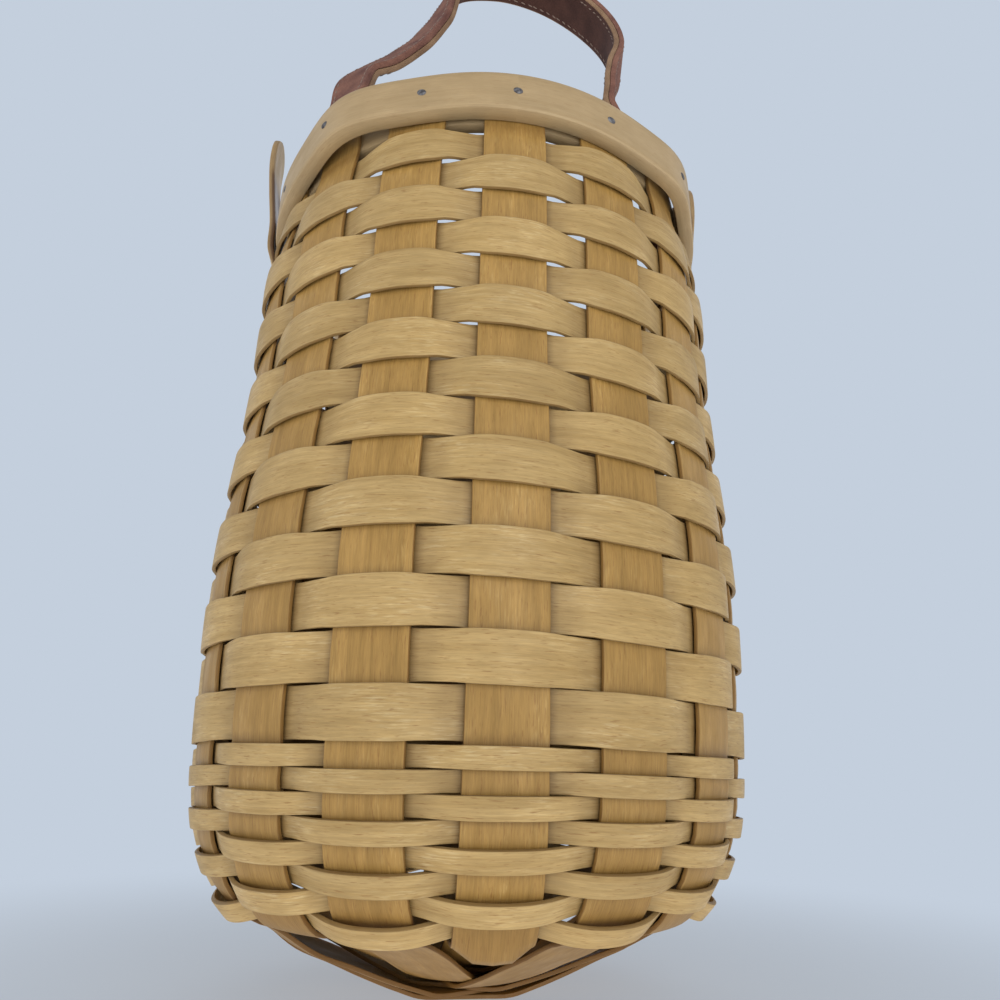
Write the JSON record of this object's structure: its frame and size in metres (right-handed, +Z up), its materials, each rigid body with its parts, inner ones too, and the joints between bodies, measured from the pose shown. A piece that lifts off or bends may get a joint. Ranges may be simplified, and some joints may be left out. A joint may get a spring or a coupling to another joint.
{
  "type": "splint basket with leather handle",
  "caption": "Tall round basket plaited from flat wood splints, with a bowl base, a two-band tacked rim, bent wooden ears and a swinging leather handle.",
  "frame": {"origin": "middle of the basket's underside, where the crossed splints rest", "axes": "+Z up the basket's axis; -Y is the side that an upright of the first splint faces; the ears stand at +X and -X"},
  "size_m": [0.1818, 0.1712, 0.4191],
  "materials": {
    "splint_upright": "satin",
    "splint_weaver": "satin",
    "rim_wood": "satin",
    "ear_wood": "satin",
    "leather_outer": "rough",
    "leather_lining": "satin",
    "tack_steel": "satin",
    "rivet_brass": "satin"
  },
  "bodies": {
    "basket": {"ear_left": "ear_wood", "ear_right": "ear_wood", "handle_tab_left": "leather_outer", "handle_tab_right": "leather_outer", "narrow_weaver_1": "splint_weaver", "narrow_weaver_2": "splint_weaver", "narrow_weaver_3": "splint_weaver", "narrow_weaver_4": "splint_weaver", "narrow_weaver_5": "splint_weaver", "narrow_weaver_6": "splint_weaver", "narrow_weaver_7": "splint_weaver", "narrow_weaver_8": "splint_weaver", "rim_inner_band": "rim_wood", "rim_outer_band": "rim_wood", "rim_tacks": "tack_steel", "stake_1": "splint_upright", "stake_2": "splint_upright", "stake_3": "splint_upright", "stake_4": "splint_upright", "stake_5": "splint_upright", "stake_6": "splint_upright", "stake_7": "splint_upright", "stake_8": "splint_upright", "tab_rivets": "rivet_brass", "wide_weaver_01": "splint_weaver", "wide_weaver_02": "splint_weaver", "wide_weaver_03": "splint_weaver", "wide_weaver_04": "splint_weaver", "wide_weaver_05": "splint_weaver", "wide_weaver_06": "splint_weaver", "wide_weaver_07": "splint_weaver", "wide_weaver_08": "splint_weaver", "wide_weaver_09": "splint_weaver", "wide_weaver_10": "splint_weaver", "wide_weaver_11": "splint_weaver", "wide_weaver_12": "splint_weaver", "wide_weaver_13": "splint_weaver", "wide_weaver_14": "splint_weaver", "wide_weaver_15": "splint_weaver"},
    "handle": {"handle_strap": "leather_outer", "handle_lining": "leather_lining"}
  },
  "joints": [
    {"name": "handle_swing", "type": "hinge", "parent": "basket", "child": "handle", "pos_m": [0, -0.03931, 0.27], "axis": [1, 0, 0], "range_deg": [-36, 64]}
  ]
}
